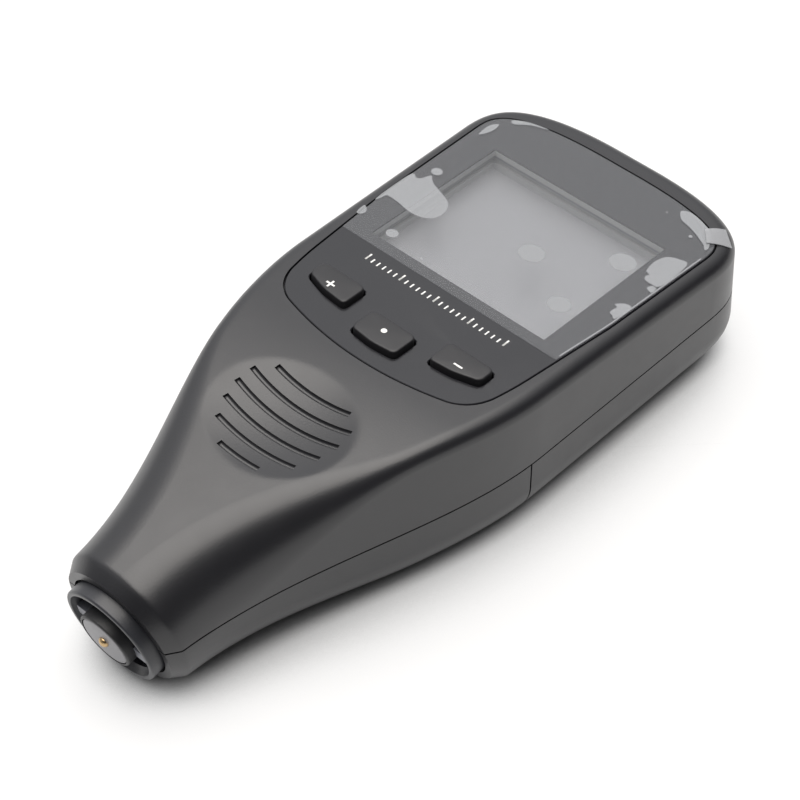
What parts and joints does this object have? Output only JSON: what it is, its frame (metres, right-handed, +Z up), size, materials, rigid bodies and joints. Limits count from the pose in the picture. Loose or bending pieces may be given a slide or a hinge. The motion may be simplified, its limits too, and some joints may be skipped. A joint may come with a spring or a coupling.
{
  "type": "coating thickness gauge",
  "caption": "Hand-held coating thickness gauge: bottle-shaped moulded casing with a sprung probe in its neck, a sloping display face with a window and push keys, and a sliding battery cover.",
  "frame": {"origin": "middle of the bounding box at the bottom, on the surface the gauge lies on", "axes": "+Z up out of the display face, +Y along the casing towards the display end, probe towards -Y"},
  "size_m": [0.054, 0.127, 0.0301],
  "materials": {
    "casing_plastic": "fine satin texture",
    "panel_plastic": "gloss",
    "film": "clear film",
    "lens": "clear",
    "bezel_plastic": "matte",
    "display_glass": "blank display, satin",
    "backlight_plastic": "diffuse white",
    "key_rubber": "satin",
    "switch_plastic": "matte",
    "board_laminate": "solder mask",
    "beeper_brass": "plain",
    "collar_plastic": "satin",
    "barrel_plastic": "satin",
    "face_plastic": "satin",
    "tip_brass": "polished",
    "core_iron": "plain",
    "winding": "enamelled copper wire",
    "spring_steel": "nickel plated",
    "cell_wrap": "plain wrapper"
  },
  "bodies": {
    "casing": {"front_shell": "casing_plastic", "rear_shell": "casing_plastic", "face_panel": "panel_plastic", "screen_film": "film", "window_lens": "lens", "lcd_bezel": "bezel_plastic", "lcd_glass": "display_glass", "backlight_panel": "backlight_plastic", "tact_switches": "switch_plastic", "main_chip": "switch_plastic", "circuit_board": "board_laminate", "beeper": "beeper_brass", "probe_collar": "collar_plastic", "probe_guide": "collar_plastic", "probe_spring": "spring_steel", "contact_springs": "spring_steel", "contact_plates": "spring_steel", "case_screws": "spring_steel", "battery_cell_left": "cell_wrap", "battery_cell_right": "cell_wrap"},
    "key_left_body": {"key_left": "key_rubber"},
    "key_middle_body": {"key_middle": "key_rubber"},
    "key_right_body": {"key_right": "key_rubber"},
    "probe": {"probe_barrel": "barrel_plastic", "probe_face": "face_plastic", "probe_tip": "tip_brass", "probe_core": "core_iron", "probe_coil": "winding"},
    "cover": {"battery_cover": "casing_plastic"}
  },
  "joints": [
    {"name": "key_left_press", "type": "slide", "parent": "casing", "child": "key_left_body", "axis": [0, -0.0698, -0.9976], "range_m": [0, 0.0005], "stiffness_N_per_m": 800, "springref_m": -0.0003},
    {"name": "key_middle_press", "type": "slide", "parent": "casing", "child": "key_middle_body", "axis": [0, -0.0698, -0.9976], "range_m": [0, 0.0005], "stiffness_N_per_m": 800, "springref_m": -0.0003},
    {"name": "key_right_press", "type": "slide", "parent": "casing", "child": "key_right_body", "axis": [0, -0.0698, -0.9976], "range_m": [0, 0.0005], "stiffness_N_per_m": 800, "springref_m": -0.0003},
    {"name": "probe_press", "type": "slide", "parent": "casing", "child": "probe", "axis": [0, 0.9848, 0.1736], "range_m": [0, 0.0018], "stiffness_N_per_m": 600, "springref_m": -0.003, "deforming": ["probe_spring"]},
    {"name": "cover_slide", "type": "slide", "parent": "casing", "child": "cover", "axis": [0, 1, 0], "range_m": [0, 0.018]}
  ]
}
